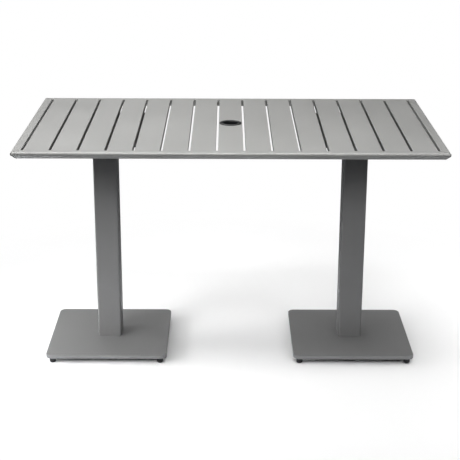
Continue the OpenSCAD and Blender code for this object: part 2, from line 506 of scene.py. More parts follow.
class ExtrusionTree(ShapeTree):
    """Extrudes a section of nested outlines, square at the ends or mitred."""

    def __init__(self) -> None:
        """Builds the tree."""
        super().__init__("extrusion")
        sizes = {name: self.add_input(name) for name in ("Length", "Width", "Mitre")}
        curve = add_node(self.tree, "GeometryNodeMeshToCurve", {"Mesh": self.given})
        face = add_node(self.tree, "GeometryNodeFillCurve", {0: curve.outputs[0]}, mode="NGONS").outputs[0]
        reach = add_node(self.tree, "ShaderNodeCombineXYZ", {"Z": sizes["Length"]}).outputs[0]
        inputs = {"Mesh": face, "Offset": reach, "Offset Scale": 1.0, "Individual": False}
        body = add_node(self.tree, "GeometryNodeExtrudeMesh", inputs, mode="FACES").outputs[0]
        both = add_node(self.tree, "GeometryNodeJoinGeometry")
        for shape in (body, face):
            self.tree.links.new(shape, both.inputs[0])
        inputs = {"Geometry": both.outputs[0], "Distance": MERGE}
        whole = add_node(self.tree, "GeometryNodeMergeByDistance", inputs)
        self.close(self.mitred(whole.outputs[0], sizes))

    def mitred(self, shape: Socket, sizes: dict[str, Socket]) -> Socket:
        """Draws both ends in by the distance from the section's outer side, times Mitre.

        Args:
            shape: The extrusion, square at its ends.
            sizes: The tree's named inputs.

        Returns:
            The extrusion with its ends mitred.
        """
        place = add_node(self.tree, "GeometryNodeInputPosition").outputs[0]
        parts = add_node(self.tree, "ShaderNodeSeparateXYZ", {0: place}).outputs
        known = {**sizes, "x": parts["X"], "z": parts["Z"]}
        formula: list[Step] = [
            ("from outside", "SUBTRACT", "Width", "x"),
            ("half length", "DIVIDE", "Length", 2.0),
            ("halves", "DIVIDE", "z", "half length"),
            ("end", "SUBTRACT", 1.0, "halves"),
            ("drawn in", "MULTIPLY", "from outside", "end"),
            ("shift", "MULTIPLY", "drawn in", "Mitre"),
        ]
        self.work_out(known, formula)
        offset = add_node(self.tree, "ShaderNodeCombineXYZ", {"Z": known["shift"]}).outputs[0]
        inputs = {"Geometry": shape, "Offset": offset}
        return add_node(self.tree, "GeometryNodeSetPosition", inputs).outputs[0]


class BeadTree(ShapeTree):
    """Lays a rippled weld bead along the edges that it is given."""

    swell_mm: ClassVar[float] = 9.0
    rim_points: ClassVar[int] = 10
    points_per_ripple: ClassVar[float] = 4.0
    # The swell is about a half, so that the bead is about as thick as its radius says.
    least_share: ClassVar[float] = 0.5

    def __init__(self) -> None:
        """Builds the tree."""
        super().__init__("weld bead")
        known = {name: self.add_input(name) for name in ("Radius", "Ripple pitch", "Ripple depth", "Seed")}
        known["along"] = add_node(self.tree, "GeometryNodeSplineParameter").outputs["Length"]
        swell = {"Scale": 1 / (self.swell_mm * MM), "Detail": 1.0, "W": known["Seed"]}
        known["swell"] = add_node(self.tree, "ShaderNodeTexNoise", swell, noise_dimensions="4D").outputs[0]
        formula: list[Step] = [
            ("spacing", "DIVIDE", "Ripple pitch", self.points_per_ripple),
            ("ripples", "DIVIDE", "along", "Ripple pitch"),
            ("phase", "MULTIPLY", "ripples", 2 * math.pi),
            ("wave", "SINE", "phase", 0.0),
            ("ripple", "MULTIPLY", "wave", "Ripple depth"),
            ("uneven", "ADD", "ripple", "swell"),
            ("share", "ADD", self.least_share, "uneven"),
            ("thick", "MULTIPLY", "share", "Radius"),
        ]
        self.work_out(known, formula)
        curve = add_node(self.tree, "GeometryNodeMeshToCurve", {"Mesh": self.given}).outputs[0]
        inputs = {"Curve": curve, "Length": known["spacing"]}
        path = add_node(self.tree, "GeometryNodeResampleCurve", inputs, mode="LENGTH").outputs[0]
        inputs = {"Resolution": self.rim_points, "Radius": 1.0}
        rim = add_node(self.tree, "GeometryNodeCurvePrimitiveCircle", inputs).outputs[0]
        inputs = {"Curve": path, "Profile Curve": rim, "Scale": known["thick"], "Fill Caps": True}
        self.close(add_node(self.tree, "GeometryNodeCurveToMesh", inputs).outputs[0])


class ThreadTree(ShapeTree):
    """Winds a right-hand thread round a rod that stands on z = 0."""

    # Half of the rise, and a little more for rounding.
    half_rise: ClassVar[float] = 0.5001

    def __init__(self) -> None:
        """Builds the tree."""
        super().__init__("thread")
        known = {name: self.add_input(name) for name in ("Diameter", "Pitch", "Length", "Depth")}
        known |= {name: self.add_input(name, "NodeSocketInt") for name in ("Rows", "Columns")}
        inputs = {"Size X": 1.0, "Size Y": 1.0, "Vertices X": known["Columns"], "Vertices Y": known["Rows"]}
        grid = add_node(self.tree, "GeometryNodeMeshGrid", inputs).outputs[0]
        place = add_node(self.tree, "GeometryNodeInputPosition").outputs[0]
        parts = add_node(self.tree, "ShaderNodeSeparateXYZ", {0: place}).outputs
        known |= {"x": parts["X"], "y": parts["Y"]}
        # The grid's columns go round the rod and its rows up it. The first and the last row shrink to the
        # rod's axis and close its ends.
        formula: list[Step] = [
            ("turn", "ADD", "x", 0.5),
            ("up", "ADD", "y", 0.5),
            ("gaps", "SUBTRACT", "Rows", 1.0),
            ("row", "DIVIDE", 1.0, "gaps"),
            ("two rows", "MULTIPLY", "row", 2.0),
            ("open share", "SUBTRACT", 1.0, "two rows"),
            ("stretch", "DIVIDE", 1.0, "open share"),
            ("raised", "SUBTRACT", "up", "row"),
            ("rise", "MULTIPLY", "raised", "stretch"),
            ("above foot", "MAXIMUM", "rise", 0.0),
            ("share", "MINIMUM", "above foot", 1.0),
            ("height", "MULTIPLY", "share", "Length"),
            ("pitches", "DIVIDE", "height", "Pitch"),
            ("wound", "SUBTRACT", "pitches", "turn"),
            ("phase", "FRACT", "wound", 0.0),
            ("twice", "MULTIPLY", "phase", 2.0),
            ("from crest", "SUBTRACT", "twice", 1.0),
            ("ridge", "ABSOLUTE", "from crest", 0.0),
            ("left over", "SUBTRACT", "Length", "height"),
            ("to end", "DIVIDE", "left over", "Pitch"),
            ("nearness", "SUBTRACT", 1.0, "to end"),
            ("fade", "MAXIMUM", "nearness", 0.0),
            ("deeper", "MAXIMUM", "ridge", "fade"),
            ("cut", "MULTIPLY", "deeper", "Depth"),
            ("half", "DIVIDE", "Diameter", 2.0),
            ("full", "SUBTRACT", "half", "cut"),
            ("from middle", "SUBTRACT", "rise", 0.5),
            ("off middle", "ABSOLUTE", "from middle", 0.0),
            ("on the rod", "LESS_THAN", "off middle", self.half_rise),
            ("radius", "MULTIPLY", "full", "on the rod"),
            ("angle", "MULTIPLY", "turn", 2 * math.pi),
            ("cosine", "COSINE", "angle", 0.0),
            ("sine", "SINE", "angle", 0.0),
            ("X", "MULTIPLY", "radius", "cosine"),
            ("Y", "MULTIPLY", "radius", "sine"),
        ]
        self.work_out(known, formula)
        inputs = {"X": known["X"], "Y": known["Y"], "Z": known["height"]}
        place = add_node(self.tree, "ShaderNodeCombineXYZ", inputs).outputs[0]
        inputs = {"Geometry": grid, "Position": place}
        wound = add_node(self.tree, "GeometryNodeSetPosition", inputs).outputs[0]
        inputs = {"Geometry": wound, "Distance": MERGE}
        self.close(add_node(self.tree, "GeometryNodeMergeByDistance", inputs).outputs[0])


class ScatterTree(ShapeTree):
    """Sets a copy of one fastener at every point, each turned by chance about its axis."""

    def __init__(self) -> None:
        """Builds the tree."""
        super().__init__("fasteners")
        fastener = self.add_input("Fastener", "NodeSocketObject")
        seed = self.add_input("Seed", "NodeSocketInt")
        shape = add_node(self.tree, "GeometryNodeObjectInfo", {"Object": fastener}).outputs["Geometry"]
        # Input 3 is the largest value where the data type is a float, and output 1 is its result.
        inputs = {3: 2 * math.pi, "Seed": seed}
        turn = add_node(self.tree, "FunctionNodeRandomValue", inputs, data_type="FLOAT").outputs[1]
        rotation = add_node(self.tree, "ShaderNodeCombineXYZ", {"Z": turn}).outputs[0]
        inputs = {"Points": self.given, "Instance": shape, "Rotation": rotation}
        self.close(add_node(self.tree, "GeometryNodeInstanceOnPoints", inputs).outputs[0])


@dataclass(frozen=True)
class Finish:
    """A finish of one main colour, with its patterns on Object coordinates."""

    name: str
    colour: str
    roughness: float
    plastic_ior: ClassVar[float] = 1.5

    def material(self) -> Material:
        """Builds the finish.

        Returns:
            The material, named for the finish.
        """
        made = bpy.data.materials.new(self.name)
        made.use_nodes = True
        tree = made.node_tree
        tree.nodes.clear()
        place = add_node(tree, "ShaderNodeTexCoord").outputs["Object"]
        add_node(tree, "ShaderNodeOutputMaterial", {"Surface": self.surface(tree, place)})
        return made

    def surface(self, tree: NodeTree, place: Socket) -> Socket:
        """Adds the finish's own nodes.

        Args:
            tree: The material's tree.
            place: The Object coordinates.

        Returns:
            The shader.
        """
        raise NotImplementedError


@dataclass(frozen=True)
class PowderCoat(Finish):
    """Polyester powder coat, sprayed and baked: a satin coat with orange peel and fine aluminium flakes.

    The eye sees a soft, wide sheen, a faint mottle close by and no brush marks. The real flakes are 0.05 mm;
    they are drawn larger, so that they show.
    """

    grain_mm: float
    grain_depth_mm: float
    flake_mm: float = 0.9
    sparkle: float = 0.045
    peel_mm: float = 3.5
    peel_depth_mm: float = 0.012
    cloud_mm: float = 170.0
    cloud_shade: float = 0.025
    cloud_gloss: float = 0.03
    metallic: float = 0.1
    # Painted shade on faces that look along X, the slats' walls in the slots: how much darker they get, and
    # over which range of the normal's X it fades in.
    slot_wall_painted_shade: float = 0.0
    painted_shade_facing: Point = (0.6, 0.95)

    def shade(self, tree: NodeTree, place: Socket, cloud: Socket) -> Socket:
        """The factor on the colour: flakes, wide clouds and, where it is set, painted shade on the faces that
        look along X, which are the slats' walls in the slots.

        Args:
            tree: The material's tree.
            place: The Object coordinates.
            cloud: The wide noise.

        Returns:
            The factor.
        """
        inputs = {"Scale": 1 / (self.flake_mm * MM), "Vector": place}
        flake = add_node(tree, "ShaderNodeTexVoronoi", inputs).outputs["Color"]
        chance = add_node(tree, "ShaderNodeSeparateColor", {0: flake}).outputs[0]
        inputs = {"To Min": 1 - self.sparkle, "To Max": 1 + self.sparkle, "Value": chance}
        sparkle = add_node(tree, "ShaderNodeMapRange", inputs).outputs[0]
        ends = {"To Min": 1 - self.cloud_shade, "To Max": 1 + self.cloud_shade}
        drift = add_node(tree, "ShaderNodeMapRange", {**NOISE_SPREAD, **ends, "Value": cloud}).outputs[0]
        shade = add_node(tree, "ShaderNodeMath", {0: sparkle, 1: drift}, operation="MULTIPLY").outputs[0]
        if not self.slot_wall_painted_shade:
            return shade
        # Painted shade: faces that look along X, the slats' walls in the slots, are made darker, as the shade
        # in the narrow slots.
        normal = add_node(tree, "ShaderNodeNewGeometry").outputs["Normal"]
        sideways = add_node(tree, "ShaderNodeSeparateXYZ", {0: normal}).outputs[0]
        along = add_node(tree, "ShaderNodeMath", {0: sideways}, operation="ABSOLUTE").outputs[0]
        inputs = {"From Min": self.painted_shade_facing[0], "From Max": self.painted_shade_facing[1]}
        inputs |= {"To Min": 1.0, "To Max": 1.0 - self.slot_wall_painted_shade, "Value": along}
        slot_wall_shade = add_node(tree, "ShaderNodeMapRange", inputs, interpolation_type="SMOOTHSTEP").outputs[0]
        return add_node(tree, "ShaderNodeMath", {0: shade, 1: slot_wall_shade}, operation="MULTIPLY").outputs[0]

    def surface(self, tree: NodeTree, place: Socket) -> Socket:
        """Adds the coat: a mottled colour over orange peel and grain.

        Args:
            tree: The material's tree.
            place: The Object coordinates.

        Returns:
            The shader.
        """
        inputs = {"Scale": 1 / (self.cloud_mm * MM), "Detail": 3.0, "Vector": place}
        cloud = add_node(tree, "ShaderNodeTexNoise", inputs).outputs[0]
        inputs = {0: linear(self.colour)[:3], "Scale": self.shade(tree, place, cloud)}
        colour = add_node(tree, "ShaderNodeVectorMath", inputs, operation="SCALE").outputs[0]
        ends = {"To Min": self.roughness - self.cloud_gloss, "To Max": self.roughness + self.cloud_gloss}
        gloss = add_node(tree, "ShaderNodeMapRange", {**NOISE_SPREAD, **ends, "Value": cloud}).outputs[0]
        relief: dict[str, Socket] = {}
        layers = ((self.peel_mm, self.peel_depth_mm, 1.0), (self.grain_mm, self.grain_depth_mm, 2.0))
        for size_mm, depth_mm, detail in layers:
            inputs = {"Scale": 1 / (size_mm * MM), "Detail": detail, "Vector": place}
            height = add_node(tree, "ShaderNodeTexNoise", inputs).outputs[0]
            inputs = {"Strength": 1.0, "Distance": depth_mm * MM, "Height": height}
            relief = {"Normal": add_node(tree, "ShaderNodeBump", inputs | relief).outputs[0]}
        inputs = {"Metallic": self.metallic, "IOR": self.plastic_ior}
        inputs |= {"Base Color": colour, "Roughness": gloss, **relief}
        return add_node(tree, "ShaderNodeBsdfPrincipled", inputs).outputs[0]


@dataclass(frozen=True)
class MouldedPlastic(Finish):
    """Injection-moulded plastic, black, from a finely eroded mould: a dark body under a soft grey sheen.

    The real grain is about 0.1 mm; it is drawn larger, so that it shows.
    """

    grain_mm: float = 0.6
    grain_depth_mm: float = 0.02
    dust_mm: float = 8.0
    dust_gloss: float = 0.12
    dust_shade: Point = (0.85, 1.3)

    def surface(self, tree: NodeTree, place: Socket) -> Socket:
        """Adds the moulded skin, a little dusty.

        Args:
            tree: The material's tree.
            place: The Object coordinates.

        Returns:
            The shader.
        """
        inputs = {"Scale": 1 / (self.grain_mm * MM), "Detail": 2.0, "Vector": place}
        grain = add_node(tree, "ShaderNodeTexNoise", inputs).outputs[0]
        inputs = {"Scale": 1 / (self.dust_mm * MM), "Detail": 4.0, "Vector": place}
        dust = add_node(tree, "ShaderNodeTexNoise", inputs).outputs[0]
        ends = {"To Min": self.roughness, "To Max": self.roughness + self.dust_gloss}
        gloss = add_node(tree, "ShaderNodeMapRange", {**NOISE_SPREAD, **ends, "Value": dust}).outputs[0]
        ends = {"To Min": self.dust_shade[0], "To Max": self.dust_shade[1]}
        shade = add_node(tree, "ShaderNodeMapRange", {**NOISE_SPREAD, **ends, "Value": dust}).outputs[0]
        inputs = {0: linear(self.colour)[:3], "Scale": shade}
        colour = add_node(tree, "ShaderNodeVectorMath", inputs, operation="SCALE").outputs[0]
        inputs = {"Strength": 1.0, "Distance": self.grain_depth_mm * MM, "Height": grain}
        bump = add_node(tree, "ShaderNodeBump", inputs).outputs[0]
        inputs = {"IOR": self.plastic_ior, "Base Color": colour, "Roughness": gloss, "Normal": bump}
        return add_node(tree, "ShaderNodeBsdfPrincipled", inputs).outputs[0]


@dataclass(frozen=True)
class PlatedSteel(Finish):
    """Steel with its metal in sight: bright zinc on the fasteners, mill scale on the hidden feet.

    The eye sees metal that is a little cloudy, with softer and duller patches.
    """

    stain: str
    stain_mm: float = 5.0
    stain_depth_mm: float = 0.01
    stain_gloss: Point = (-0.08, 0.12)

    def surface(self, tree: NodeTree, place: Socket) -> Socket:
        """Adds the metal, with its stains.

        Args:
            tree: The material's tree.
            place: The Object coordinates.

        Returns:
            The shader.
        """
        inputs = {"Scale": 1 / (self.stain_mm * MM), "Detail": 5.0, "Roughness": 0.6, "Vector": place}
        patch = add_node(tree, "ShaderNodeTexNoise", inputs).outputs[0]
        inputs = {"A": linear(self.colour), "B": linear(self.stain), "Factor": patch}
        colour = add_node(tree, "ShaderNodeMix", inputs, data_type="RGBA").outputs["Result"]
        low, high = (self.roughness + change for change in self.stain_gloss)
        inputs = {"To Min": low, "To Max": high, "Value": patch}
        gloss = add_node(tree, "ShaderNodeMapRange", inputs).outputs[0]
        inputs = {"Strength": 1.0, "Distance": self.stain_depth_mm * MM, "Height": patch}
        bump = add_node(tree, "ShaderNodeBump", inputs).outputs[0]
        inputs = {"Metallic": 1.0, "Base Color": colour, "Roughness": gloss, "Normal": bump}
        return add_node(tree, "ShaderNodeBsdfPrincipled", inputs).outputs[0]


@dataclass(frozen=True)
class PaleFloor(Finish):
    """Matt white studio floor paint, which runs out into a sweep that is lit to pure white.

    The photograph's ground is cut out in pure white. Its table was lit from below as by a sheet of paper on
    a dark ground, so that is what the floor sends up to it.
    """

    paper: str = "#EEF0F4"
    ground: str = "#4A4A4A"
    paper_reach: Point = (1.15, 0.75)
    paper_fade: Point = (0.6, 1.2)
    sweep_fade: Point = (0.75, 1.4)
    sweep_glow: float = 1.0

    def surface(self, tree: NodeTree, place: Socket) -> Socket:
        """Adds the paint, the sweep and the open underside.

        Args:
            tree: The material's tree.
            place: The Object coordinates.

        Returns:
            The shader.
        """
        seen = add_node(tree, "ShaderNodeLightPath").outputs["Is Camera Ray"]
        scale = (1 / self.paper_reach[0], 1 / self.paper_reach[1], 1.0)
        on_paper = add_node(tree, "ShaderNodeMapping", {"Scale": scale, "Vector": place}).outputs[0]
        fades = []
        for spot, (near, far) in ((on_paper, self.paper_fade), (place, self.sweep_fade)):
            reach = add_node(tree, "ShaderNodeVectorMath", {0: spot}, operation="LENGTH").outputs["Value"]
            inputs = {"From Min": near, "From Max": far, "Value": reach}
            fade = add_node(tree, "ShaderNodeMapRange", inputs, interpolation_type="SMOOTHSTEP")
            fades.append(fade.outputs[0])
        inputs = {"A": linear(self.paper), "B": linear(self.ground), "Factor": fades[0]}
        bounce = add_node(tree, "ShaderNodeMix", inputs, data_type="RGBA").outputs["Result"]
        inputs = {"A": bounce, "B": linear(self.colour), "Factor": seen}
        shade = add_node(tree, "ShaderNodeMix", inputs, data_type="RGBA").outputs["Result"]
        inputs = {"Roughness": self.roughness, "Base Color": shade}
        paint = add_node(tree, "ShaderNodeBsdfPrincipled", inputs).outputs[0]
        # Further out the floor is seen as white as a lit studio sweep, from every side.
        lit = add_node(tree, "ShaderNodeMath", {0: fades[1], 1: seen}, operation="MULTIPLY").outputs[0]
        glow = add_node(tree, "ShaderNodeEmission", {"Strength": self.sweep_glow}).outputs[0]
        front = add_node(tree, "ShaderNodeMixShader", {0: lit, 1: paint, 2: glow}).outputs[0]
        # From below the floor can't be seen, so that a view from there shows the table's underside.
        below = add_node(tree, "ShaderNodeNewGeometry").outputs["Backfacing"]
        clear = add_node(tree, "ShaderNodeBsdfTransparent").outputs[0]
        return add_node(tree, "ShaderNodeMixShader", {0: below, 1: front, 2: clear}).outputs[0]


class Finishes:
    """Every finish of the table, each built once."""

    def __init__(self) -> None:
        """Builds the materials."""
        fine = {"grain_mm": 0.8, "grain_depth_mm": 0.004}
        satin = PowderCoat("silver_satin_powder_coat_on_aluminium", "#A3A3A1", 0.37, **fine)
        self.top = satin.material()
        # The slats' copy of the coat has painted shade on their side faces, the walls of the slots.
        self.slat = replace(satin, name=f"{satin.name}_slats", slot_wall_painted_shade=0.45).material()
        coarse = {"grain_mm": 1.1, "grain_depth_mm": 0.02}
        textured = PowderCoat("silver_fine_texture_powder_coat_on_steel", "#787878", 0.5, **coarse)
        self.base = textured.material()
        # The mounting plates are coated near black; this also paints the deep shade that lies under the
        # slats.
        black = replace(textured, name="black_coat_with_painted_shade_on_steel", colour="#18191A", roughness=0.55)
        self.plate = black.material()
        self.ring = MouldedPlastic("black_moulded_abs", "#0D0F11", 0.32).material()
        self.glide = MouldedPlastic("black_moulded_nylon", "#0A0A0B", 0.55).material()
        self.zinc = PlatedSteel("bright_zinc_on_steel", "#C9CBCE", 0.3, "#AEB0B4").material()
        self.bare = PlatedSteel("mill_scale_steel", "#6F7073", 0.5, "#57585B", stain_mm=14.0).material()


class Trees:
    """The Geometry Nodes trees, each built once."""

    def __init__(self) -> None:
        """Builds the trees."""
        self.extrusion = ExtrusionTree()
        self.bead = BeadTree()
        self.thread = ThreadTree()
        self.scatter = ScatterTree()


@dataclass(frozen=True)
class Bead:
    """The size of a weld bead, whose ripple depth is a share of its radius."""

    radius: float
    ripple_pitch: float
    ripple_depth: float

    def lay(
        self,
        tree: BeadTree,
        name: str,
        paths: Sequence[Ring],
        material: Material,
        slot: Slot,
        seed: float,
        closed: bool = False,
        shift: Vector = Vector(),
    ) -> None:
        """Lays the bead along paths, as one piece.

        Args:
            tree: The tree that makes beads.
            name: The piece's name.
            paths: The corners that are welded.
            material: The coat over the bead.
            slot: The record's slot for that coat; it is not used.
            seed: The seed of its unevenness.
            closed: Whether each path ends where it starts.
            shift: How far the finished bead is moved.
        """
        piece = path_piece(name, paths, closed)
        sizes = {"Radius": self.radius, "Ripple_pitch": self.ripple_pitch, "Ripple_depth": self.ripple_depth}
        tree.make(piece, material, **sizes, Seed=seed)
        move(piece, Matrix.Translation(shift))
        finish_piece(piece, material, sharp_deg=BEAD_SHARP_DEG)


@dataclass
class TopFrame:
    """The four mitred rails: a flat top, a round nose and a bevel beneath it, hollow inside."""

    trees: Trees
    finishes: Finishes
    nose_radius: float = 6 * MM
    wall: float = 2.2 * MM
    edge_radius: float = 0.6 * MM
    corner_radius: float = 5 * MM
    mitre_gap: float = 0.08 * MM
    edge_steps: int = 4
    bend_steps: int = 3
    nose_steps: int = 18
    corner_steps: int = 10
    bead: Bead = Bead(1.3 * MM, 1.6 * MM, 0.12)
    bead_seed: float = 3.0
    bead_start: float = 1 * MM

    def section(self, width: float, height: float, inset: float) -> list[Point]:
        """Outline of a rail, x outwards from its inner wall and y up to 0 at the top.

        Args:
            width: The rail's width.
            height: Its height.
            inset: How far the outline lies within the outer skin.

        Returns:
            The outline's points.
        """
        nose = self.nose_radius - inset
        centre = (width - self.nose_radius, -self.nose_radius)
        tangent = (centre[0] + nose * math.sqrt(0.5), centre[1] - nose * math.sqrt(0.5))
        bottom = inset - height
        foot = tangent[0] - (tangent[1] - bottom)
        soft = self.edge_radius if inset == 0 else self.edge_radius / 2
        bend = soft * math.tan(math.radians(22.5))
        return (
            arc((inset + soft, bottom + soft), soft, 180, 270, self.edge_steps)
            + arc((foot - bend, bottom + soft), soft, 270, 315, self.bend_steps)
            + arc(centre, nose, -45, 90, self.nose_steps)
            + arc((inset + soft, -inset - soft), soft, 90, 180, self.edge_steps)
        )

    def rail(self, node: str, turn_deg: float) -> None:
        """Makes one rail, mitred at both ends.

        Args:
            node: The CAD node that it stands for.
            turn_deg: The turn about the table's middle from the back rail to this one.
        """
        box = Box.of(node)
        length = max(box.size.x, box.size.y)
        width = min(box.size.x, box.size.y)
        across = (box.low.y, box.high.y) if box.size.x > box.size.y else (box.low.x, box.high.x)
        outer = max(abs(c) for c in across)
        outlines = [at_height(self.section(width, box.size.z, inset), 0.0) for inset in (0.0, self.wall)]
        piece = path_piece(f"{node}_coated", outlines, closed=True)
        short = length - 2 * self.mitre_gap
        self.trees.extrusion.make(piece, self.finishes.top, Length=short, Width=width, Mitre=1.0)
        rows = ((0, 0, 1, -short / 2), (1, 0, 0, outer - width), (0, 1, 0, box.high.z), (0, 0, 0, 1))
        move(piece, Matrix(rows))
        tidy_mesh(piece)
        rounded = round_rect(length, 2 * outer, self.corner_radius, self.corner_steps)
        cutter = loft("corner", [at_height(rounded, z) for z in (box.low.z - CLEAR, box.high.z + CLEAR)])
        combine(piece, cutter, "INTERSECT")
        move(piece, Matrix.Rotation(math.radians(turn_deg), 4, "Z"))
        finish_piece(piece, self.finishes.top, nodes=[node])

    def corner_welds(self) -> None:
        """The beads under the four mitres, where the rails are joined and only the top is ground."""
        x, y = Box.of("right_end_rail").low.x, Box.of("back_rail").low.y
        z = Box.of("back_rail").low.z
        signs = [(sx, sy) for sx in (-1, 1) for sy in (-1, 1)]
        reach = (self.bead_start, self.nose_radius * 2)
        paths = [[Vector((sx * (x + out), sy * (y + out), z)) for out in reach] for sx, sy in signs]
        finish = self.finishes.top
        self.bead.lay(self.trees.bead, "frame_corner_welds", paths, finish, Slot.TOP, self.bead_seed)

    def build(self) -> None:
        """Makes all the frame's pieces."""
        turns = {"back_rail": 0, "left_end_rail": 90, "front_rail": 180, "right_end_rail": 270}
        for node, turn in turns.items():
            self.rail(node, turn)
        self.corner_welds()


@dataclass
class SlatDeck:
    """The fifteen hollow slats, welded to the rails from below."""

    trees: Trees
    finishes: Finishes
    count: int = 15
    wall: float = 1.6 * MM
    edge_radius: float = 1.5 * MM
    chambers: int = 3
    chamber_radius: float = 0.4 * MM
    edge_steps: int = 5
    chamber_steps: int = 2
    end_gap: float = 0.4 * MM
    hole_gap: float = 0.3 * MM
    ring_barrel: float = 52 * MM
    ring_hole_steps: int = 96
    nut_width: float = 9 * MM
    bead: Bead = Bead(1.6 * MM, 2.2 * MM, 0.1)
    bead_seed: float = 7.0
    bead_inset: float = 6 * MM

    def boxes(self) -> dict[str, Box]:
        """The slats' nodes and boxes, from left to right."""
        nodes = [f"slat_{number:02d}" for number in range(1, self.count + 1)]
        return {node: Box.of(node) for node in nodes}

    def section(self, width: float, height: float) -> list[list[Point]]:
        """The outline of a slat and of its chambers.

        Args:
            width: The slat's width.
            height: Its height.

        Returns:
            The outer outline, then one for each chamber.
        """
        room = (width - (self.chambers + 1) * self.wall) / self.chambers
        chamber = round_rect(room, height - 2 * self.wall, self.chamber_radius, self.chamber_steps)
        shifts = [(i - (self.chambers - 1) / 2) * (room + self.wall) for i in range(self.chambers)]
        chambers = [[(x + shift, y) for x, y in chamber] for shift in shifts]
        return [round_rect(width, height, self.edge_radius, self.edge_steps), *chambers]

    def slat(self, node: str, box: Box, ringed: bool) -> None:
        """Makes one slat, with the holes that its place asks for.

        Args:
            node: The CAD node that it stands for.
            box: That node's box.
            ringed: Whether the umbrella ring sits in it.
        """
        length = box.size.y - 2 * self.end_gap
        outlines = [at_height(outline, 0.0) for outline in self.section(box.size.x, box.size.z)]
        piece = path_piece(f"{node}_coated", outlines, closed=True)
        self.trees.extrusion.make(piece, self.finishes.slat, Length=length, Width=box.size.x, Mitre=0.0)
        stand = Matrix.Rotation(math.radians(90), 4, "X")
        move(piece, Matrix.Translation(box.centre + Vector((0, length / 2, 0))) @ stand)
        tidy_mesh(piece)
        foot = box.low.z - CLEAR
        if ringed:
            radius = self.ring_barrel / 2 + self.hole_gap
            profile = [(radius, 0.0), (radius, box.size.z + 2 * CLEAR)]
            place = Vector((box.centre.x, box.centre.y, foot))
            combine(piece, turned_cutters("hole", [place], profile, self.ring_hole_steps), "DIFFERENCE")
        screws = [p for side in Side for p in Pedestal.screw_places(side) if box.low.x < p.x < box.high.x]
        if screws:
            profile = [(self.nut_width / 2, 0.0), (self.nut_width / 2, self.wall + 2 * CLEAR)]
            places = [Vector((p.x, p.y, foot)) for p in screws]
            combine(piece, turned_cutters("holes", places, profile), "DIFFERENCE")
        finish_piece(piece, self.finishes.slat, nodes=[node])

    def end_welds(self) -> None:
        """A bead under each end of each slat, in the corner with the rail."""
        inset = self.bead_inset
        paths = [
            [Vector((x, y, box.low.z)) for x in (box.low.x + inset, box.high.x - inset)]
            for box in self.boxes().values()
            for y in (box.low.y, box.high.y)
        ]
        finish = self.finishes.top
        self.bead.lay(self.trees.bead, "slat_end_welds", paths, finish, Slot.TOP, self.bead_seed)

    def build(self) -> None:
        """Makes the slats and their welds."""
        for place, (node, box) in enumerate(self.boxes().items()):
            self.slat(node, box, ringed=place == self.count // 2)
        self.end_welds()


@dataclass
class UmbrellaRing:
    """The moulded ring in the middle slat: a crowned flange, a barrel and four snap lugs."""

    finishes: Finishes
    bore: float = 48 * MM
    wall: float = 2 * MM
    rim: float = 0.7 * MM
    soft: float = 0.6 * MM
    crown_share: float = 0.97
    lugs: int = 4
    lug_deg: float = 24.0
    lug_reach: float = 1.4 * MM
    lug_ramp: float = 1 * MM
    lug_gap: float = 0.3 * MM
    lug_steps: int = 8
    crown_steps: int = 24
    rim_steps: int = 6
    steps: int = 120

    def section(self, flange: Box, top: float) -> list[Point]:
        """Outline of the ring's wall as radius and height, clockwise from the bore's lower edge.

        Args:
            flange: The box of the whole ring, as wide as its flange.
            top: The height of the slat's top.

        Returns:
            The outline's points.
        """
        inner, outer = self.bore / 2, flange.size.x / 2
        crest = flange.high.z
        band, rise = outer - inner, crest - top - self.rim
        crown = (band * band / 4 + rise * rise) / (2 * rise)
        half = math.degrees(math.asin(band / 2 / crown)) * self.crown_share
        middle = ((inner + outer) / 2, crest - crown)
        barrel = inner + self.wall
        low = flange.low.z
        return (
            [(inner + self.soft, low), (inner, low + self.soft), (inner, top + self.rim - self.soft)]
            + arc(middle, crown, 90 + half, 90 - half, self.crown_steps)
            + arc((outer - self.rim / 2, top + self.rim / 2), self.rim / 2, 60, -90, self.rim_steps)
            + [(barrel + self.soft, top), (barrel, top - self.soft), (barrel, low + self.soft)]
            + [(barrel - self.soft, low)]
        )

    def lug(self, start_deg: float, low: float, high: float) -> Piece:
        """One snap lug, a wedge on the barrel that is widest at its upper edge.

        Args:
            start_deg: The angle at which it starts.
            low: Its lower end.
            high: Its upper edge.

        Returns:
            The lug.
        """
        barrel = self.bore / 2 + self.wall
        back, tip = barrel - self.wall / 2, barrel + self.lug_reach
        wedge = [(back, low), (barrel + self.soft / 2, low), (tip, high - self.lug_ramp)]
        wedge += [(tip, high), (back, high)]
        turns = [start_deg + self.lug_deg * i / self.lug_steps for i in range(self.lug_steps + 1)]
        return loft("lug", spun(wedge, [math.radians(turn) for turn in turns]))

    def build(self) -> None:
        """Makes the ring."""
        box, slat = Box.of("umbrella_ring"), Box.of("slat_08")
        rings = spun(self.section(box, slat.high.z), around(self.steps))
        piece = loft("umbrella_ring_moulded", rings, hollow=True)
        catch = slat.low.z - self.lug_gap
        for i in range(self.lugs):
            start_deg = 360 / self.lugs * i - self.lug_deg / 2
            combine(piece, self.lug(start_deg, box.low.z, catch), "UNION")
        finish_piece(piece, self.finishes.ring, nodes=["umbrella_ring"])


